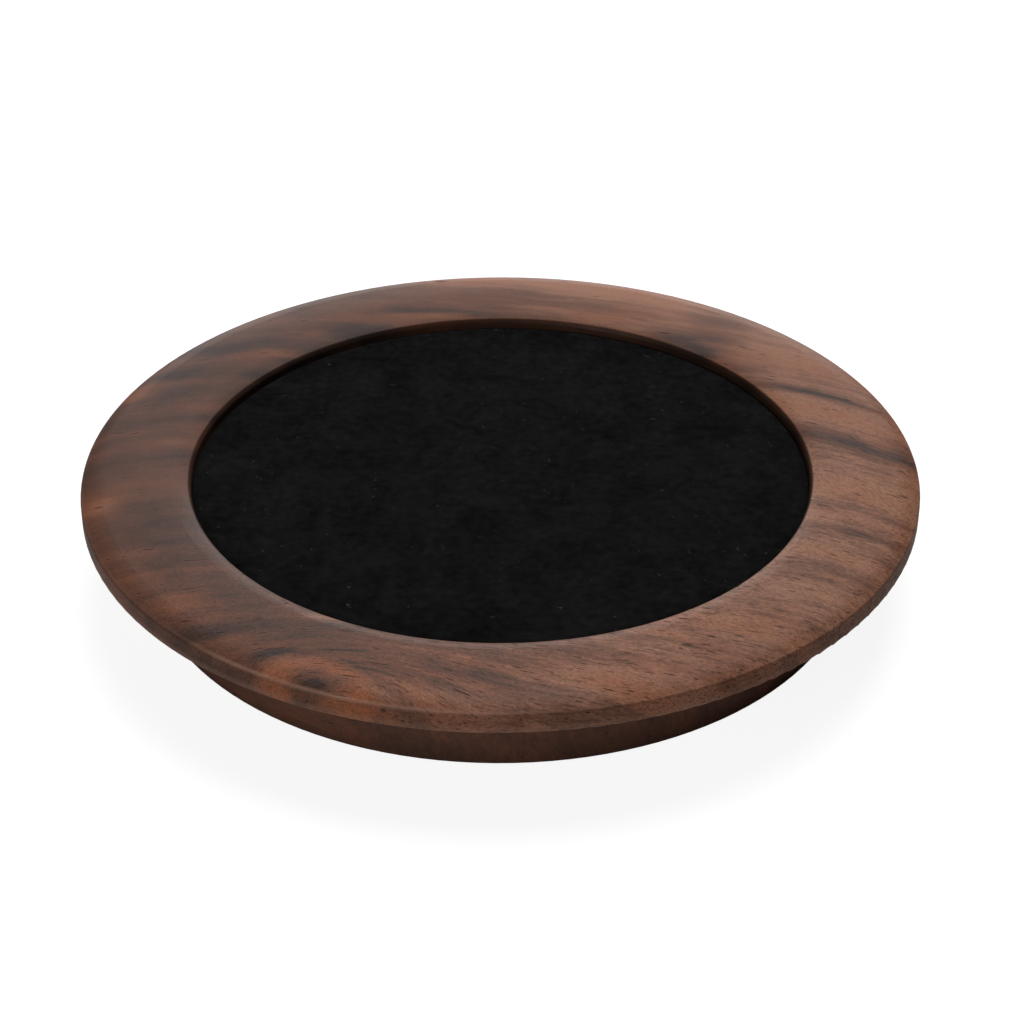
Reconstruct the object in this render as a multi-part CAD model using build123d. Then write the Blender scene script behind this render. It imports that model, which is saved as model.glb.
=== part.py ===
from build123d import *
import os

# Round wooden offering plate: a turned plate with a wide flat rim and a felt-lined recess,
# glued on a turned foot ring. Millimetres, +Z up, origin on the table under the centre.

# Overall
plate_radius = 152.5
rim_width = 39.4
foot_height = 18.0
plate_blank_height = 21.7

# Lining in the recess, and the stack under it
recess_depth = 9.4
recess_floor_radius = 0.8
felt_thickness = 2.0
felt_edge_round = 0.5
felt_gap = 0.5
board_thickness = 2.0
board_gap = 0.9
adhesive_thickness = 0.1
pad_tape_thickness = 0.15
pad_tape_outer_radius = 100.0
pad_tape_width = 19.0

# Rim: a gentle crown that rolls over in a tighter shoulder at each side, its arrises, and the underside
crown_radius = 150.0
outer_shoulder_width = 8.0
outer_shoulder_radius = 18.0
inner_shoulder_width = 7.0
inner_shoulder_radius = 14.0
rim_under_height = 29.5
inner_arris = 2.0
outer_arris = 1.0
lower_arris = 0.9
edge_land = 3.0
cove_drop = 7.6
cove_radius = 15.0

# Foot
foot_bottom_radius = 130.2
foot_top_radius = 133.0
foot_inner_radius = 112.0
foot_arris = 0.8
foot_inner_arris = 1.5
spigot_inner_radius = 118.0
spigot_outer_radius = 126.0
spigot_height = 4.0
spigot_clearance = 0.15
hollow_radius = 109.0
hollow_depth = 3.0
hollow_round = 2.0

# Felt under the foot, proud of the wood and set in a shallow rebate
foot_felt_proud = 0.8
foot_felt_thickness = 1.2
foot_felt_outer_radius = 126.5
foot_felt_width = 10.0
rebate_clearance = 0.3

# Derived heights and radii
foot_bottom_z = foot_felt_proud
plate_bottom_z = foot_bottom_z + foot_height
rim_top_z = plate_bottom_z + plate_blank_height
rim_under_z = foot_bottom_z + rim_under_height
opening_radius = plate_radius - rim_width
recess_floor_z = rim_top_z - recess_depth
crown_outer = plate_radius - outer_shoulder_width
crown_inner = opening_radius + inner_shoulder_width
crown_middle = (crown_inner + crown_outer) / 2
foot_flare = (foot_top_radius - foot_bottom_radius) / foot_height
foot_felt_inner_radius = foot_felt_outer_radius - foot_felt_width


def revolve_profile(profile):
    """A full turn of a profile drawn in the XZ plane, about the Z axis."""
    return revolve(profile, axis=Axis.Z)


def annulus(inner, outer, bottom, height):
    """A flat ring, or a disc when the inner radius is zero."""
    ring = Pos(0, 0, bottom) * Cylinder(outer, height, align=(Align.CENTER, Align.CENTER, Align.MIN))
    if inner > 0:
        ring -= Pos(0, 0, bottom) * Cylinder(
            inner, height, align=(Align.CENTER, Align.CENTER, Align.MIN)
        )
    return ring


def crown_point(radius):
    """The point of the crown at a radius, in the XZ plane."""
    rise = (crown_radius**2 - (radius - crown_middle) ** 2) ** 0.5
    return (radius, rim_top_z - crown_radius + rise)


def shoulder_point(radius, meeting_radius, shoulder_radius):
    """The point at a radius on the shoulder arc that leaves the crown smoothly at a meeting radius."""
    share = 1 - shoulder_radius / crown_radius
    x, z = crown_point(meeting_radius)
    centre_x = crown_middle + share * (x - crown_middle)
    centre_z = rim_top_z - crown_radius + share * (z - rim_top_z + crown_radius)
    return (radius, centre_z + (shoulder_radius**2 - (radius - centre_x) ** 2) ** 0.5)


def circle_edges_at(shape, radius, height):
    """The round edges of a turned piece that lie at a radius and a height."""
    return [
        edge
        for edge in shape.edges().filter_by(GeomType.CIRCLE)
        if abs(edge.radius - radius) < 1e-3 and abs(edge.arc_center.Z - height) < 1e-3
    ]


def rim_plate():
    """The plate: a crowned rim, a recess inside it, and a hollow cove that runs in under the rim."""
    cove_start = plate_radius - edge_land
    cove_end_z = rim_under_z - cove_drop
    cove_end_radius = foot_top_radius + foot_flare * (cove_end_z - plate_bottom_z)
    inner_edge = shoulder_point(opening_radius, crown_inner, inner_shoulder_radius)
    inner_roll = shoulder_point((opening_radius + crown_inner) / 2, crown_inner, inner_shoulder_radius)
    outer_roll = shoulder_point((plate_radius + crown_outer) / 2, crown_outer, outer_shoulder_radius)
    outer_edge = shoulder_point(plate_radius, crown_outer, outer_shoulder_radius)
    with BuildSketch(Plane.XZ) as section:
        with BuildLine():
            Polyline(
                (cove_end_radius, cove_end_z),
                (foot_top_radius, plate_bottom_z),
                (0, plate_bottom_z),
                (0, recess_floor_z),
                (opening_radius, recess_floor_z),
                inner_edge,
            )
            ThreePointArc(inner_edge, inner_roll, crown_point(crown_inner))
            ThreePointArc(
                crown_point(crown_inner), crown_point(crown_middle), crown_point(crown_outer)
            )
            ThreePointArc(crown_point(crown_outer), outer_roll, outer_edge)
            Polyline(outer_edge, (plate_radius, rim_under_z), (cove_start, rim_under_z))
            RadiusArc((cove_start, rim_under_z), (cove_end_radius, cove_end_z), -cove_radius)
        make_face()
    body = revolve_profile(section.sketch)
    body = fillet(circle_edges_at(body, *outer_edge), outer_arris)
    body = fillet(circle_edges_at(body, plate_radius, rim_under_z), lower_arris)
    body = fillet(circle_edges_at(body, *inner_edge), inner_arris)
    body = fillet(circle_edges_at(body, opening_radius, recess_floor_z), recess_floor_radius)
    body -= annulus(0, hollow_radius, plate_bottom_z, hollow_depth)
    body = fillet(circle_edges_at(body, hollow_radius, plate_bottom_z + hollow_depth), hollow_round)
    body -= annulus(
        spigot_inner_radius - spigot_clearance,
        spigot_outer_radius + spigot_clearance,
        plate_bottom_z,
        spigot_height + spigot_clearance,
    )
    return body


def foot_ring():
    """The foot: a ring that narrows downwards, with a spigot on top and a rebate for its felt below."""
    with BuildSketch(Plane.XZ) as section:
        with BuildLine():
            Polyline(
                (foot_inner_radius, foot_bottom_z),
                (foot_bottom_radius, foot_bottom_z),
                (foot_top_radius, plate_bottom_z),
                (foot_inner_radius, plate_bottom_z),
                close=True,
            )
        make_face()
    body = revolve_profile(section.sketch)
    body = fillet(circle_edges_at(body, foot_bottom_radius, foot_bottom_z), foot_arris)
    body = fillet(circle_edges_at(body, foot_inner_radius, foot_bottom_z), foot_inner_arris)
    body += annulus(spigot_inner_radius, spigot_outer_radius, plate_bottom_z, spigot_height)
    rebate_depth = foot_felt_thickness + adhesive_thickness - foot_felt_proud
    body -= annulus(
        foot_felt_inner_radius - rebate_clearance,
        foot_felt_outer_radius + rebate_clearance,
        foot_bottom_z,
        rebate_depth,
    )
    return body


def pad_tape():
    """The double-sided tape ring on the recess floor."""
    inner = pad_tape_outer_radius - pad_tape_width
    return annulus(inner, pad_tape_outer_radius, recess_floor_z, pad_tape_thickness)


def pad_board():
    """The stiff board disc that carries the felt."""
    bottom = recess_floor_z + pad_tape_thickness
    return annulus(0, opening_radius - board_gap, bottom, board_thickness)


def felt_adhesive():
    """The adhesive film between board and felt."""
    bottom = recess_floor_z + pad_tape_thickness + board_thickness
    return annulus(0, opening_radius - board_gap, bottom, adhesive_thickness)


def felt_liner():
    """The felt disc, with its upper edge rounded over."""
    bottom = recess_floor_z + pad_tape_thickness + board_thickness + adhesive_thickness
    radius = opening_radius - felt_gap
    disc = annulus(0, radius, bottom, felt_thickness)
    return fillet(circle_edges_at(disc, radius, bottom + felt_thickness), felt_edge_round)


def foot_felt():
    """The thin felt ring that the plate stands on."""
    return annulus(foot_felt_inner_radius, foot_felt_outer_radius, 0, foot_felt_thickness)


def foot_felt_adhesive():
    """The adhesive film between the foot and its felt."""
    return annulus(
        foot_felt_inner_radius, foot_felt_outer_radius, foot_felt_thickness, adhesive_thickness
    )


pieces = {
    "rim_plate": rim_plate,
    "foot_ring": foot_ring,
    "pad_tape": pad_tape,
    "pad_board": pad_board,
    "felt_adhesive": felt_adhesive,
    "felt_liner": felt_liner,
    "foot_felt": foot_felt,
    "foot_felt_adhesive": foot_felt_adhesive,
}

os.makedirs("parts", exist_ok=True)
for name, make in pieces.items():
    export_step(make(), f"parts/{name}.step")
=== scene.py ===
import math

import bmesh
import bpy
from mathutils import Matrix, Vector, noise


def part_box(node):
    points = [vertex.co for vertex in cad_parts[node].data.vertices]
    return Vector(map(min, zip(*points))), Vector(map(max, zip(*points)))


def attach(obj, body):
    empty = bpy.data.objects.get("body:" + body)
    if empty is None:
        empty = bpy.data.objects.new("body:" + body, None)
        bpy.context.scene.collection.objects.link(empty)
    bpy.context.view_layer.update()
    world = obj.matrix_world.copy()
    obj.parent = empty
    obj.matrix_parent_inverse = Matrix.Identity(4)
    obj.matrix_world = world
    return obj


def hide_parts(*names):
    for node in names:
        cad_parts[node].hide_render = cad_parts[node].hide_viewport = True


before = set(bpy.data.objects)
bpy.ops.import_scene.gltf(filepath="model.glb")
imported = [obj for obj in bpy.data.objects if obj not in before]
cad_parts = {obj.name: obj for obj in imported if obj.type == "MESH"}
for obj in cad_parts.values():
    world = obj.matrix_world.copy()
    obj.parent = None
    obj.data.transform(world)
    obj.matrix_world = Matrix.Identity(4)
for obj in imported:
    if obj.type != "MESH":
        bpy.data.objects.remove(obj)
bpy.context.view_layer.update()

MM = 0.001

# Places and sizes from the frame
plate_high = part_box("rim_plate")[1]
felt_low, felt_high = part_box("felt_liner")
foot_felt_low, foot_felt_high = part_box("foot_felt")
plate_radius = plate_high.x
rim_top = plate_high.z
felt_radius = felt_high.x

# The ring of felt under the foot is this wide, as in the CAD
FOOT_FELT_WIDTH = 10 * MM

# The rim's outer edge is this far below the crown's middle
CROWN_FALL = 2.8 * MM

# The rim's edge is this high, from its underside
EDGE_HEIGHT = 7.1 * MM

# The felt stops this far short of the recess wall, as in the CAD
FELT_GAP = 0.5 * MM


# ---------------------------------------------------------------- shader helpers
class Graph:
    """A short way to write one material's nodes."""

    def __init__(self, name):
        self.material = bpy.data.materials.new(name)
        self.material.use_nodes = True
        self.tree = self.material.node_tree
        self.tree.nodes.clear()
        self.output = self.node("ShaderNodeOutputMaterial")
        self.shader = self.node("ShaderNodeBsdfPrincipled")
        self.link(self.shader.outputs[0], self.output.inputs["Surface"])

    def node(self, kind, **settings):
        made = self.tree.nodes.new(kind)
        for key, value in settings.items():
            setattr(made, key, value)
        return made

    def link(self, source, target):
        self.tree.links.new(source, target)

    def feed(self, socket, value):
        if isinstance(value, bpy.types.NodeSocket):
            self.link(value, socket)
        else:
            socket.default_value = value

    def math(self, operation, *values, clamp=False):
        made = self.node("ShaderNodeMath", operation=operation, use_clamp=clamp)
        for socket, value in zip(made.inputs, values):
            self.feed(socket, value)
        return made.outputs[0]

    def vector(self, operation, *values):
        made = self.node("ShaderNodeVectorMath", operation=operation)
        for socket, value in zip(made.inputs, values):
            self.feed(socket, value)
        scalar = operation in ("DOT_PRODUCT", "LENGTH")
        return made.outputs["Value" if scalar else "Vector"]

    def combine(self, x, y, z):
        made = self.node("ShaderNodeCombineXYZ")
        for socket, value in zip(made.inputs, (x, y, z)):
            self.feed(socket, value)
        return made.outputs[0]

    def separate(self, vector):
        made = self.node("ShaderNodeSeparateXYZ")
        self.link(vector, made.inputs[0])
        return made.outputs[0], made.outputs[1], made.outputs[2]

    def noise(self, vector, detail=2.0, roughness=0.5, distortion=0.0, colour=False):
        made = self.node("ShaderNodeTexNoise")
        self.feed(made.inputs["Vector"], vector)
        self.feed(made.inputs["Scale"], 1.0)
        self.feed(made.inputs["Detail"], detail)
        self.feed(made.inputs["Roughness"], roughness)
        self.feed(made.inputs["Distortion"], distortion)
        return made.outputs["Color" if colour else "Fac"]

    def cells(self, vector, dimensions="3D"):
        """How far a point lies from the middle of its cell, and a colour that chance gives the cell."""
        made = self.node("ShaderNodeTexVoronoi", voronoi_dimensions=dimensions)
        self.feed(made.inputs["Vector"], vector)
        self.feed(made.inputs["Scale"], 1.0)
        return made.outputs["Distance"], made.outputs["Color"]

    def span(self, value, low, high, out_low=0.0, out_high=1.0):
        """A smooth step from out_low, where value is low, to out_high, where it is high."""
        made = self.node("ShaderNodeMapRange", interpolation_type="SMOOTHSTEP")
        for socket, given in zip(made.inputs, (value, low, high, out_low, out_high)):
            self.feed(socket, given)
        return made.outputs[0]

    def mix(self, factor, a, b, blend="MIX"):
        made = self.node("ShaderNodeMix", data_type="RGBA", blend_type=blend)
        made.clamp_factor = True
        self.feed(made.inputs[0], factor)
        for socket, value in ((made.inputs[6], a), (made.inputs[7], b)):
            if isinstance(value, tuple):
                value = (*value, 1.0)
            self.feed(socket, value)
        return made.outputs[2]

    def bump(self, height, distance, strength=1.0, normal=None):
        made = self.node("ShaderNodeBump")
        self.feed(made.inputs["Strength"], strength)
        self.feed(made.inputs["Distance"], distance)
        self.feed(made.inputs["Height"], height)
        if normal is not None:
            self.link(normal, made.inputs["Normal"])
        return made.outputs[0]

    def millimetres(self):
        """The point on the piece, in millimetres in the row frame."""
        place = self.node("ShaderNodeTexCoord").outputs["Object"]
        return self.scaled(place, 1000.0)

    def scaled(self, vector, factor):
        made = self.node("ShaderNodeVectorMath", operation="SCALE")
        self.link(vector, made.inputs[0])
        made.inputs["Scale"].default_value = factor
        return made.outputs[0]

    def finish(self, **sockets):
        for name, value in sockets.items():
            socket = self.shader.inputs[name.replace("_", " ")]
            if isinstance(value, tuple):
                value = (*value, 1.0)
            self.feed(socket, value)
        return self.material


# ---------------------------------------------------------------- walnut
# Growth bands run roughly along X and arch towards +Y. Their crest is at x = CREST, and a band's
# y falls by ARCH times the square of the distance from the crest (mm).
ARCH = 0.0015
CREST = -55.0
BAND_TILT = 0.55

# The wood's colours
GREY_BROWN = (0.066, 0.041, 0.035)
MID_BROWN = (0.165, 0.075, 0.049)
TAN = (0.340, 0.162, 0.100)
ORANGE = (0.340, 0.118, 0.057)
PORE = (0.022, 0.012, 0.009)
# The next two are the painted highlight along the rim's arrises and the painted shade on its recess wall
PAINTED_ARRIS_HIGHLIGHT = (0.420, 0.250, 0.180)
PAINTED_WALL_SHADE = (0.012, 0.008, 0.006)

# Streaks and patches of the plate's figure: centre x, centre y, half length, half width, strength.
# A streak with a strength below zero is a paler place.
DARK_STREAKS = (
    (119, 47, 30, 2.9, 0.90),
    (129, 10, 30, 5.0, 0.75),
    (134, -25, 14, 8.0, -0.50),
    (148, 5, 8, 8.0, 0.35),
    (112, -31, 10, 2.5, 0.35),
    (128, -36, 18, 1.8, 0.25),
    (147, -20, 8, 7.0, -0.35),
    (107, -45, 10, 3.0, 0.35),
    (124, -50, 20, 2.4, 0.45),
    (71, 93, 12, 5.0, 0.85),
    (86, 92, 11, 5.0, 0.60),
    (80, 82, 10, 4.5, 0.60),
    (94, 69, 8, 4.0, 0.35),
    (88, 106, 12, 4.0, 0.45),
    (-30, 134, 16, 7.0, -0.25),
    (53, 138, 22, 5.0, -0.45),
    (-24, 116, 24, 4.5, 0.58),
    (-58, 100, 16, 5.0, 0.85),
    (-112, 82, 12, 4.0, 0.30),
    (-85, 78, 12, 4.0, 0.25),
    (-122, 9, 12, 4.0, -0.35),
    (-96, 65, 14, 4.0, 0.40),
    (-126, 62, 12, 5.0, 0.45),
    (-121, -57, 14, 2.6, 0.20),
    (-142, -36, 8, 6.0, -0.40),
    (-127, -61, 10, 7.0, -0.35),
    (-121, -82, 9, 8.0, -0.30),
    # A painted highlight: the pale mark on the inner edge near the knot, at the front left
    (-54, -102, 14, 4.5, -0.72),
    (-72, -122, 6, 3.0, 0.70),
    (-50, -121, 9, 1.3, 0.65),
    (-36, -147, 5, 4.0, -0.50),
    (-10, -148, 10, 3.0, -0.25),
    (86, -114, 20, 6.0, -0.18),
    (-106, -97, 9, 7.0, -0.25),
    (-91, -102, 9, 7.0, -0.35),
    (-38, -133, 14, 0.9, 0.35),
    (-6, -136, 20, 4.5, 0.55),
    (45, -149, 16, 3.0, 0.40),
    (76, -136, 14, 3.0, 0.40),
    (98, -123, 12, 3.0, 0.40),
    (38, -110, 14, 2.0, 0.25),
    (67, -118, 30, 1.5, 0.25),
)
WARM_PATCHES = (
    (126, 30, 28, 4.5, 0.75),
    (126, -22, 20, 8.0, 0.60),
    (124, -41, 18, 5.0, 0.45),
    (121, 66, 26, 8.0, 0.80),
    (58, 132, 24, 9.0, 0.90),
    (12, 141, 46, 6.0, 0.70),
    (-24, 113, 16, 2.5, 0.80),
    (22, 116, 14, 3.0, 0.40),
    (-141, 46, 9, 5.0, 0.75),
    (-112, 37, 10, 5.0, 0.25),
    (-143, -32, 9, 7.0, 0.35),
    (-112, -92, 8, 4.0, 0.35),
    (-88, -114, 8, 4.0, 0.50),
    (-25, -145, 18, 5.0, 0.90),
    (2, -143, 16, 4.0, 0.30),
    (-48, -149, 14, 3.0, 0.60),
    (40, -139, 16, 7.0, 1.60),
    (112, -63, 20, 5.0, 0.45),
    (90, -112, 24, 8.0, 0.65),
    (-98, 116, 10, 5.0, 0.30),
    (-85, 79, 12, 4.0, 0.85),
    (-56, 100, 20, 4.0, 1.00),
    (44, 109, 10, 5.0, 0.40),
)

# The bands rise over the knot near the front left edge. Its eye has an orange ring round it, whose long
# axis is turned by KNOT_TURN.
KNOT_AT = (-54.0, -140.0)
KNOT_REACH = (34.0, 26.0)
KNOT_RISE = 26.0
EYE_AT = (-58.0, -138.0)
RING_SIZE = (19.0, 11.0)
KNOT_TURN = math.radians(-22.0)


def bend(x, y):
    """How far across the bands a point of the rim's top lies, in mm."""
    away = ((x - KNOT_AT[0]) / KNOT_REACH[0]) ** 2 + ((y - KNOT_AT[1]) / KNOT_REACH[1]) ** 2
    return y + ARCH * (x - CREST) ** 2 - KNOT_RISE * math.exp(-away)


def grain_space(g, offset):
    """Coordinates along the grain, across the arched bands, and through them, in mm."""
    place = g.vector("ADD", g.millimetres(), offset)
    x, y, z = g.separate(place)
    knot = g.vector(
        "MULTIPLY_ADD",
        g.millimetres(),
        (1 / KNOT_REACH[0], 1 / KNOT_REACH[1], 0.0),
        (-KNOT_AT[0] / KNOT_REACH[0], -KNOT_AT[1] / KNOT_REACH[1], 0.0),
    )
    rise = g.math("POWER", math.exp(-1), g.vector("DOT_PRODUCT", knot, knot))
    sway = g.noise(g.vector("MULTIPLY", place, (0.012, 0.022, 0.02)), detail=2.0)
    ripple = g.noise(g.vector("MULTIPLY", place, (0.05, 0.13, 0.13)), detail=2.0)
    from_crest = g.math("SUBTRACT", x, CREST)
    across = g.math("MULTIPLY_ADD", g.math("MULTIPLY", from_crest, from_crest), ARCH, y)
    across = g.math("MULTIPLY_ADD", g.math("SUBTRACT", z, rim_top / MM), BAND_TILT, across)
    across = g.math("MULTIPLY_ADD", rise, -KNOT_RISE, across)
    across = g.math("MULTIPLY_ADD", g.math("SUBTRACT", sway, 0.5), 9.0, across)
    across = g.math("MULTIPLY_ADD", g.math("SUBTRACT", ripple, 0.5), 2.6, across)
    return g.combine(x, across, z)


def blots(g, space, marks):
    """The sum of soft marks that lie along the bands."""
    total = None
    for x, y, length, width, strength in marks:
        local = g.vector(
            "MULTIPLY_ADD",
            space,
            (1 / length, 1 / width, 0.0),
            (-x / length, -bend(x, y) / width, 0.0),
        )
        mark = g.math("POWER", math.exp(-1), g.vector("DOT_PRODUCT", local, local))
        if total is None:
            total = g.math("MULTIPLY", mark, strength)
        else:
            total = g.math("MULTIPLY_ADD", mark, strength, total)
    return total


def knot_distance(g):
    """How far a point lies from the knot's eye: 0 in the eye, and 1 along the ring."""
    place = g.millimetres()
    away = g.vector("SUBTRACT", place, (*EYE_AT, 0.0))
    turn_x, turn_y = math.cos(KNOT_TURN), math.sin(KNOT_TURN)
    length, width = RING_SIZE
    along = g.vector("DOT_PRODUCT", away, (turn_x / length, turn_y / length, 0.0))
    across = g.vector("DOT_PRODUCT", away, (-turn_y / width, turn_x / width, 0.0))
    distance = g.vector("LENGTH", g.combine(along, across, 0.0))
    uneven = g.noise(g.vector("MULTIPLY", place, (0.14, 0.30, 0.14)), detail=3.0, roughness=0.65)
    return swing(g, uneven, 0.60, distance)


def ridge(g, value, middle, half_width):
    """A soft ridge: 1 where value is at its middle, falling to 0 on both sides."""
    away = g.math("MULTIPLY_ADD", value, 1 / half_width, -middle / half_width)
    return g.math("POWER", math.exp(-1), g.math("MULTIPLY", away, away))


def profile_place(g):
    """A point's radius and height, in mm."""
    x, y, z = g.separate(g.millimetres())
    return g.vector("LENGTH", g.combine(x, y, 0.0)), z


def near_circle(g, radius, height, at_radius, at_height, reach):
    """1 on a circle round the plate's axis, falling to 0 at reach away from it, all in mm."""
    out = g.math("SUBTRACT", radius, at_radius)
    up = g.math("SUBTRACT", height, at_height)
    return g.span(g.vector("LENGTH", g.combine(out, up, 0.0)), 0.25 * reach, reach, 1.0, 0.0)


def pores(g, space, length, width, share):
    """Short dark pore slits that lie along the grain: how deep a point lies in one, from 0 to 1."""
    distance, colour = g.cells(g.vector("MULTIPLY", space, (1 / length, 1 / width, 1 / width)))
    chance, size, depth = g.separate(colour)
    reach = g.math("MULTIPLY_ADD", size, 0.17, 0.13)
    slit = g.span(g.math("DIVIDE", distance, reach), 1.1, 0.6)
    slit = g.math("MULTIPLY", slit, g.math("LESS_THAN", chance, share))
    return g.math("MULTIPLY", slit, g.math("MULTIPLY_ADD", depth, 0.7, 0.3))


def swing(g, noise_value, amount, base):
    """base, moved up or down by a noise value that is centred on a half."""
    return g.math("MULTIPLY_ADD", g.math("SUBTRACT", noise_value, 0.5), amount, base)


def paint_arris_highlights_and_wall_shade(g, colour):
    """Painted highlights along the rim's upper and lower arrises, mottled and brightest at the front
    left, and painted shade on the wall of its recess, deeper towards the right.
    """
    radius, height = profile_place(g)
    edge_radius, edge_top = plate_radius / MM, (rim_top - CROWN_FALL) / MM
    # Painted highlights: a paler band along the upper arris, strongest at the front left, and a weaker one
    # along the lower arris
    upper = near_circle(g, radius, height, edge_radius - 0.8, edge_top - 0.1, 1.2)
    lower = near_circle(g, radius, height, edge_radius - 0.3, edge_top - EDGE_HEIGHT / MM + 0.3, 3.0)
    x, _, _ = g.separate(g.millimetres())
    front_left = g.math("MULTIPLY", g.span(x, 20.0, -25.0), g.span(x, -105.0, -85.0))
    highlight_mottle = g.noise(g.scaled(g.millimetres(), 0.09), detail=3.0)
    upper = g.math("MULTIPLY", upper, g.math("MULTIPLY_ADD", front_left, 0.36, 0.05))
    upper = g.math("MULTIPLY", upper, g.math("MULTIPLY_ADD", highlight_mottle, 1.2, 0.4))
    arris_highlight = g.math("MAXIMUM", upper, g.math("MULTIPLY", lower, 0.22), clamp=True)
    colour = g.mix(arris_highlight, colour, PAINTED_ARRIS_HIGHLIGHT)
    # Painted shade on the recess wall, deeper towards the right
    wall_radius = (felt_radius + FELT_GAP) / MM
    inside = g.span(radius, wall_radius + 1.4, wall_radius + 0.5)
    wall = g.math("MULTIPLY", inside, g.span(x, 20.0, 100.0, 0.55, 0.88))
    return g.mix(wall, colour, PAINTED_WALL_SHADE)


def walnut(name, offset, marked, shade, base, spread):
    """Oiled walnut, cut from a solid figure, so edges and faces agree.

    offset picks the place in the figure, in mm, and marked adds the plate's own streaks and knot, with
    painted highlights on its arrises and painted shade on its recess wall. base is the middle tone,
    from 0 to 1, spread how far the bands and clouds move it, and shade multiplies the colour.
    """
    g = Graph(name)
    space = grain_space(g, offset)
    # Each layer's factors are its waves per mm: along the grain, across the bands, and through them
    bands = g.noise(g.vector("MULTIPLY", space, (0.007, 0.050, 0.050)), detail=2.0, roughness=0.5)
    clouds = g.noise(g.vector("MULTIPLY", space, (0.030, 0.045, 0.045)), detail=3.0, roughness=0.6)
    stripes = g.noise(g.vector("MULTIPLY", space, (0.016, 0.28, 0.28)), detail=3.0, roughness=0.6)
    threads = g.noise(g.vector("MULTIPLY", space, (0.060, 0.45, 0.45)), detail=1.0, roughness=0.6)
    lines = g.noise(g.vector("MULTIPLY", space, (0.120, 1.00, 1.00)), detail=2.0, roughness=0.6)
    fibres = g.noise(g.vector("MULTIPLY", space, (0.20, 1.7, 1.7)), detail=3.0, roughness=0.75)
    speckle = g.noise(g.vector("MULTIPLY", space, (0.75, 1.3, 1.3)), detail=3.0, roughness=0.85)
    hue = g.noise(g.vector("MULTIPLY", space, (0.022, 0.05, 0.05)), detail=2.0)

    crowd, crisp, straight = 0.15, 0.5, 0.5
    tone = swing(g, bands, 0.8 * spread, base)
    tone = swing(g, clouds, 0.7 * spread, tone)
    if marked:
        # The grain is open and crisp towards the front right, and the left is darker than the right
        x, y, _ = g.separate(g.millimetres())
        near = g.span(g.math("MULTIPLY_ADD", x, -0.5, y), 60.0, -110.0)
        open_grain = g.math("MULTIPLY", near, g.span(x, -110.0, -10.0, 0.25, 1.0))
        crowd = g.math("MULTIPLY_ADD", open_grain, 0.85, 0.05)
        crisp = g.math("MULTIPLY_ADD", near, 0.9, 0.45)
        straight = g.span(x, -60.0, 20.0, 0.35, 1.0)
        tone = g.math("ADD", tone, g.span(x, -100.0, 70.0, -0.22, 0.24))
        dark = blots(g, space, DARK_STREAKS)
        warm = blots(g, space, WARM_PATCHES)
        knot = knot_distance(g)
        ring = ridge(g, knot, 0.78, 0.28)
        eye = g.math("MULTIPLY_ADD", ridge(g, knot, 1.25, 0.08), 0.30, ridge(g, knot, 0.0, 0.15))
        tone = g.math("MULTIPLY_ADD", g.math("MULTIPLY_ADD", eye, 0.55, dark), -0.85, tone)
        tone = g.math("MULTIPLY_ADD", g.math("MULTIPLY_ADD", ring, 0.70, warm), 0.42, tone)
    tone = g.math("MULTIPLY_ADD", swing(g, stripes, 0.65, 0.0), straight, tone)
    fine = g.math("ADD", swing(g, lines, 0.40, 0.0), swing(g, threads, 0.5, 0.0))
    tone = g.math("MULTIPLY_ADD", fine, g.math("MULTIPLY", crisp, straight), tone)
    colour = g.mix(g.span(tone, 0.0, 0.48), GREY_BROWN, MID_BROWN)
    colour = g.mix(g.span(tone, 0.42, 1.0), colour, TAN)
    orange = g.span(hue, 0.46, 0.70, 0.0, 0.4)
    if marked:
        orange = g.math("MULTIPLY_ADD", warm, 0.55, orange)
        orange = g.math("MULTIPLY_ADD", ring, 0.75, orange, clamp=True)
    colour = g.mix(g.math("MULTIPLY", orange, g.span(tone, 0.1, 0.6)), colour, ORANGE)
    grit = g.math("MULTIPLY_ADD", swing(g, fibres, 0.6, 0.0), straight, swing(g, speckle, 1.7, 0.0))
    value = g.math("MULTIPLY", g.math("MULTIPLY_ADD", grit, crisp, 1.0), shade)
    colour = g.mix(1.0, colour, g.combine(value, value, value), blend="MULTIPLY")

    slits = g.math(
        "MAXIMUM",
        pores(g, space, 13.0, 1.6, crowd),
        pores(g, g.vector("ADD", space, (311.0, 57.0, 23.0)), 7.0, 1.2, crowd),
    )
    colour = g.mix(g.math("MULTIPLY", slits, 0.85), colour, PORE)
    if marked:
        colour = paint_arris_highlights_and_wall_shade(g, colour)

    roughness = g.span(fibres, 0.2, 0.8, 0.36, 0.50)
    roughness = g.math("MULTIPLY_ADD", slits, 0.3, roughness, clamp=True)
    grain = g.bump(fibres, 0.05 * MM, 0.5)
    relief = g.bump(g.math("SUBTRACT", 1.0, slits), 0.12 * MM, 0.8, grain)
    return g.finish(
        Base_Color=colour, Roughness=roughness, Normal=relief, IOR=1.48, Specular_IOR_Level=0.095
    )


# ---------------------------------------------------------------- felt and small parts
def caught(g, space, reach, share):
    """Small marks, one in each cell that chance picks: 1 in a mark's middle, and 0 past its reach."""
    distance, kind = g.cells(space, "2D")
    chance, size, _ = g.separate(kind)
    near = g.span(g.math("DIVIDE", distance, g.math("MULTIPLY_ADD", size, reach, reach)), 1.0, 0.3)
    return g.math("MULTIPLY", near, g.math("LESS_THAN", chance, share))


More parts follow.
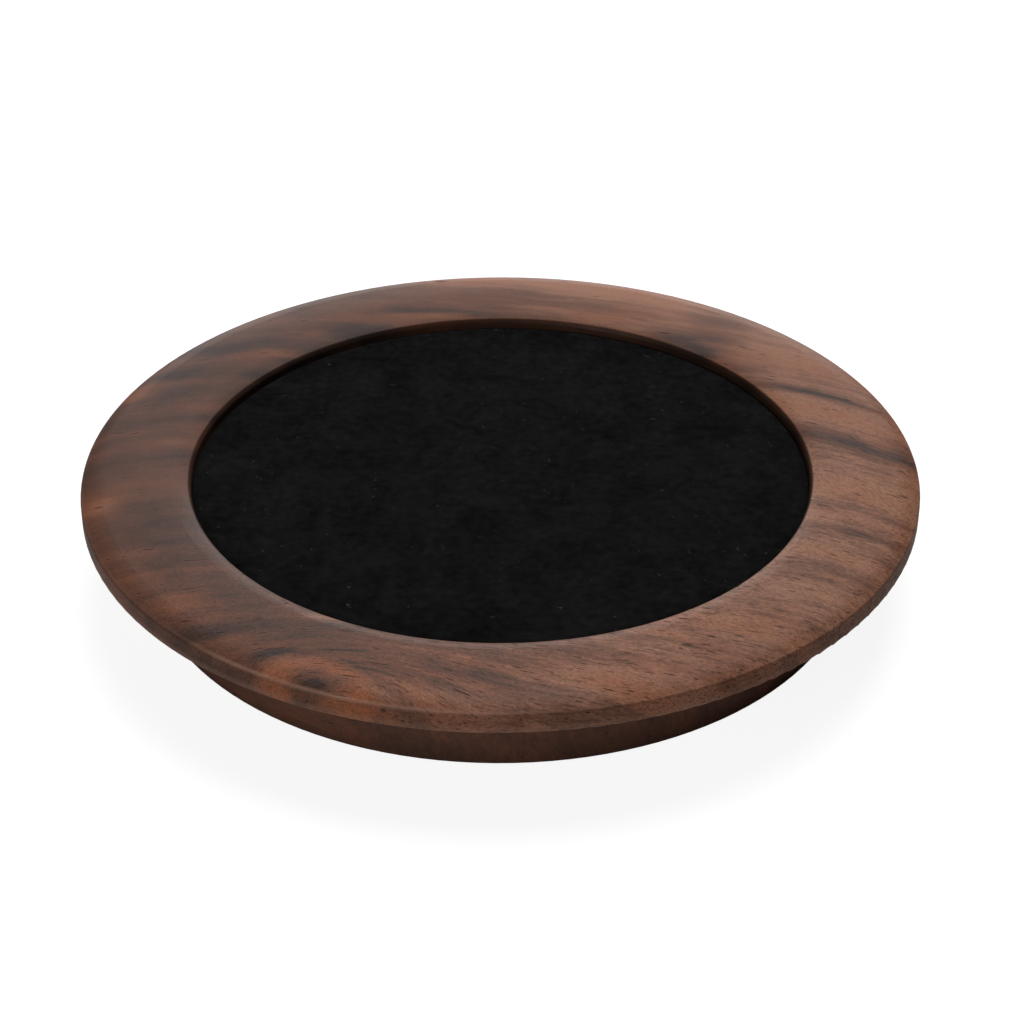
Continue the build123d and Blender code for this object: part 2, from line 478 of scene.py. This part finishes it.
def felt_material(name, base, lint):
    """Matted wool: cloudy nap, a fine fibre tangle, and a few caught threads."""
    g = Graph(name)
    place = g.millimetres()
    clouds = g.noise(g.scaled(place, 0.055), detail=4.0, roughness=0.6, distortion=0.6)
    patches = g.noise(g.scaled(place, 0.28), detail=3.0, roughness=0.6)
    tangle = g.noise(g.scaled(place, 3.2), detail=3.0, roughness=0.7, distortion=1.2)
    value = swing(g, clouds, 2.6, 1.0)
    value = swing(g, patches, 2.4, value)
    value = swing(g, tangle, 2.6, value)
    colour = g.mix(1.0, base, g.combine(value, value, value), blend="MULTIPLY")
    if lint:
        bent = g.noise(g.scaled(place, 0.4), colour=True)
        wavy = g.vector("MULTIPLY_ADD", bent, (5.0, 5.0, 0.0), place)
        thread = caught(g, g.vector("MULTIPLY", wavy, (0.05, 0.30, 0.0)), 0.05, 0.03)
        crossing = caught(g, g.vector("MULTIPLY", wavy, (0.35, 0.06, 0.0)), 0.05, 0.03)
        thread = g.math("MAXIMUM", thread, crossing)
        speck = caught(g, g.vector("MULTIPLY", place, (0.13, 0.16, 0.0)), 0.035, 0.14)
        dust = g.math("MAXIMUM", g.math("MULTIPLY", thread, 0.30), g.math("MULTIPLY", speck, 0.35))
        colour = g.mix(dust, colour, (0.16, 0.16, 0.155))
    height = g.math("MULTIPLY_ADD", patches, 0.6, tangle)
    return g.finish(
        Base_Color=colour,
        Roughness=1.0,
        Normal=g.bump(height, 0.25 * MM, 0.9),
        Specular_IOR_Level=0.03,
        Sheen_Weight=0.015,
        Sheen_Roughness=0.5,
    )


def board_material(name):
    """Grey pressed fibre board with darker flecks."""
    g = Graph(name)
    place = g.millimetres()
    pulp = g.noise(g.scaled(place, 1.4), detail=4.0, roughness=0.7)
    flecks = g.noise(g.vector("MULTIPLY", place, (2.5, 0.9, 2.5)), detail=2.0, distortion=2.0)
    colour = g.mix(g.span(pulp, 0.3, 0.7), (0.23, 0.21, 0.18), (0.34, 0.31, 0.26))
    colour = g.mix(g.span(flecks, 0.62, 0.72, 0.0, 0.7), colour, (0.11, 0.09, 0.07))
    return g.finish(
        Base_Color=colour, Roughness=g.span(pulp, 0.3, 0.7, 0.75, 0.95), Normal=g.bump(pulp, 0.1 * MM)
    )


def glue_material(name, base):
    """Dried glue film: cloudy, with small bubbles."""
    g = Graph(name)
    place = g.millimetres()
    cloud = g.noise(g.scaled(place, 0.35), detail=3.0)
    bubbles, _ = g.cells(g.scaled(place, 0.8))
    ring = g.span(bubbles, 0.05, 0.16)
    pale = tuple(min(1.0, 1.25 * c) for c in base)
    colour = g.mix(g.span(cloud, 0.3, 0.7), base, pale)
    return g.finish(
        Base_Color=colour, Roughness=g.span(cloud, 0.3, 0.7, 0.3, 0.55), Normal=g.bump(ring, 0.04 * MM)
    )


# ---------------------------------------------------------------- felt pieces
TURNED_SIDES = 360


def circle(radius, height, count):
    """Points round the Z axis."""
    turns = [math.tau * k / count for k in range(count)]
    return [(radius * math.cos(turn), radius * math.sin(turn), height) for turn in turns]


def turned(name, outline, hollow=False):
    """A closed mesh of revolution. outline runs from the inner bottom outwards and back over the top."""
    mesh = bpy.data.meshes.new(name)
    bm = bmesh.new()
    rings = []
    for radius, height in outline:
        if radius <= 1e-9:
            rings.append([bm.verts.new((0, 0, height))])
            continue
        rings.append([bm.verts.new(point) for point in circle(radius, height, TURNED_SIDES)])
    pairs = list(zip(rings, rings[1:]))
    if hollow:
        pairs.append((rings[-1], rings[0]))
    for a, b in pairs:
        for k in range(TURNED_SIDES):
            j = (k + 1) % TURNED_SIDES
            if len(a) == 1:
                bm.faces.new((a[0], b[j], b[k]))
            elif len(b) == 1:
                bm.faces.new((a[k], a[j], b[0]))
            else:
                bm.faces.new((a[k], a[j], b[j], b[k]))
    bmesh.ops.recalc_face_normals(bm, faces=bm.faces)
    for face in bm.faces:
        face.smooth = True
    bm.to_mesh(mesh)
    bm.free()
    piece = bpy.data.objects.new(name, mesh)
    bpy.context.scene.collection.objects.link(piece)
    return piece


def arc(centre, radius, start, end, count):
    """Points on an arc in the profile plane; angles in degrees."""
    points = []
    for k in range(count + 1):
        a = math.radians(start + (end - start) * k / count)
        points.append((centre[0] + radius * math.cos(a), centre[1] + radius * math.sin(a)))
    return points


def steps(start, end, size):
    """Values from start towards end, about size apart, without the last."""
    count = max(1, round(abs(end - start) / size))
    return [start + (end - start) * k / count for k in range(count)]


def lining():
    """The felt in the recess: a soft disc whose top dips and swells a little, rounded at its cut edge."""
    bottom, top = felt_low.z, felt_high.z
    edge_reach, edge_fall = 4.6 * MM, 1.6 * MM
    flat_radius = felt_radius - edge_reach
    outline = [(r, bottom) for r in steps(0.0, felt_radius, 6 * MM)]
    outline += [(felt_radius, bottom)]
    for across, up in arc((0.0, 0.0), 1.0, 0, 90, 8):
        outline.append((flat_radius + edge_reach * across, top - edge_fall * (1 - up)))
    outline += [(r, top) for r in reversed(steps(0.0, flat_radius, 1.0 * MM))]
    piece = turned("black_felt", outline)
    for vertex in piece.data.vertices:
        if vertex.co.z > top - edge_fall / 2:
            wave = noise.fractal(vertex.co * 55.0, 1.0, 2.0, 3)
            fuzz = noise.noise(vertex.co * 900.0)
            vertex.co.z -= (0.05 + 0.05 * wave + 0.035 * fuzz) * MM
    return piece


def foot_pad():
    """The thin felt ring that the plate stands on."""
    outer = foot_felt_high.x
    inner = outer - FOOT_FELT_WIDTH
    bottom, top, edge = foot_felt_low.z, foot_felt_high.z, 0.25 * MM
    outline = arc((inner + edge, bottom + edge), edge, 180, 270, 4)
    outline += [(inner + FOOT_FELT_WIDTH * k / 8, bottom) for k in range(1, 8)]
    outline += arc((outer - edge, bottom + edge), edge, 270, 360, 4)
    outline += [(outer, top), (inner, top)]
    return turned("foot_felt_ring", outline, hollow=True)


def paint(piece, material):
    piece.data.materials.clear()
    piece.data.materials.append(material)


def dress_cad(node, material):
    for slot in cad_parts[node].material_slots:
        slot.material = material


dress_cad(
    "rim_plate",
    walnut("walnut_plate_oiled", offset=(0.0, 0.0, 0.0), marked=True, shade=1.0, base=0.50, spread=1.0),
)
dress_cad(
    "foot_ring",
    walnut("walnut_foot_oiled", offset=(420.0, 260.0, -75.0), marked=False, shade=1.2, base=0.26, spread=0.4),
)
dress_cad("pad_board", board_material("fibre_board"))
dress_cad("pad_tape", glue_material("tape_film", (0.60, 0.55, 0.42)))
dress_cad("felt_adhesive", glue_material("felt_glue", (0.55, 0.50, 0.38)))
dress_cad("foot_felt_adhesive", glue_material("foot_glue", (0.55, 0.50, 0.38)))

felt = lining()
paint(felt, felt_material("black_felt_nap", (0.0064, 0.0064, 0.0065), lint=True))
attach(felt, "root")
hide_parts("felt_liner")

foot_ring_felt = foot_pad()
paint(foot_ring_felt, felt_material("foot_felt_nap", (0.013, 0.013, 0.014), lint=False))
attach(foot_ring_felt, "root")
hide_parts("foot_felt")


# ---------------------------------------------------------------- stage, light and camera
STAGE_RADIUS = 6.0
STAGE_SIDES = 96
CAMERA_ELEVATION = math.radians(32.24)


def stage_sheet(name, height, hole, **finish):
    """A wide flat sheet that isn't part of the plate, with a round hole in it under the plate."""
    mesh = bpy.data.meshes.new(name)
    bm = bmesh.new()
    rim = [bm.verts.new(point) for point in circle(STAGE_RADIUS, height, STAGE_SIDES)]
    if hole == 0:
        bm.faces.new(rim)
    else:
        edge = [bm.verts.new(point) for point in circle(hole, height, STAGE_SIDES)]
        for k in range(STAGE_SIDES):
            j = (k + 1) % STAGE_SIDES
            bm.faces.new((edge[k], rim[k], rim[j], edge[j]))
    bm.to_mesh(mesh)
    bm.free()
    piece = bpy.data.objects.new(name, mesh)
    bpy.context.scene.collection.objects.link(piece)
    paint(piece, Graph(name).finish(Roughness=0.9, Specular_IOR_Level=0.0, **finish))
    return piece


def floor():
    """A white product table that glows a little, so its shadows stay pale. The plate gets the table's
    light from a card, which leaves out the part of the table that the plate keeps dark."""
    white = (1.0, 1.0, 1.0)
    table = stage_sheet(
        "floor", 0.0, 0.0, Base_Color=(0.32, 0.32, 0.32), Emission_Color=white, Emission_Strength=0.89
    )
    table.visible_diffuse = False
    table.visible_glossy = False
    card = stage_sheet(
        "bounce_card",
        -0.5 * MM,
        plate_radius - 6 * MM,
        Base_Color=(0.0, 0.0, 0.0),
        Emission_Color=white,
        Emission_Strength=0.38,
    )
    card.visible_camera = False


def soft_box(name, azimuth, elevation, distance, width, height, radiance):
    """A soft box that faces the plate; its place is in degrees, anticlockwise from +X, and up."""
    turn, tip = math.radians(azimuth), math.radians(elevation)
    place = distance * Vector(
        (math.cos(tip) * math.cos(turn), math.cos(tip) * math.sin(turn), math.sin(tip))
    )
    data = bpy.data.lights.new(name, "AREA")
    data.shape = "RECTANGLE"
    data.size, data.size_y = width, height
    data.energy = radiance * math.pi * width * height
    lamp = bpy.data.objects.new(name, data)
    bpy.context.scene.collection.objects.link(lamp)
    lamp.location = place
    lamp.rotation_euler = (-place).to_track_quat("-Z", "Y").to_euler()
    lamp.visible_camera = False


def backdrop():
    """A plain white surround that only shows behind the plate; the soft boxes light it."""
    world = bpy.data.worlds.new("studio")
    bpy.context.scene.world = world
    world.use_nodes = True
    world.node_tree.nodes["Background"].inputs["Color"].default_value = (1.0, 1.0, 1.0, 1.0)
    world.cycles_visibility.diffuse = False
    world.cycles_visibility.glossy = False


def camera():
    """A long lens, low over the front edge; distances are in plate radii from the rim's centre."""
    data = bpy.data.cameras.new("camera")
    data.lens = 84.0
    data.sensor_width = 36.0
    made = bpy.data.objects.new("camera", data)
    bpy.context.scene.collection.objects.link(made)
    rim_edge = Vector((0, 0, rim_top - CROWN_FALL))
    made.location = Vector((0.0275, -4.925, 2.969)) * plate_radius + rim_edge
    made.rotation_euler = (math.pi / 2 - CAMERA_ELEVATION, 0, 0)
    bpy.context.scene.camera = made


floor()
backdrop()
soft_box("high_back", 80, 62, 2.2, 1.45, 1.45, 5.6)
soft_box("low_back", 90, 11, 3.0, 2.2, 1.1, 3.0)
soft_box("front_left", 233, 20, 2.0, 1.0, 0.8, 3.5)
camera()
bpy.context.scene.view_settings.view_transform = "Standard"
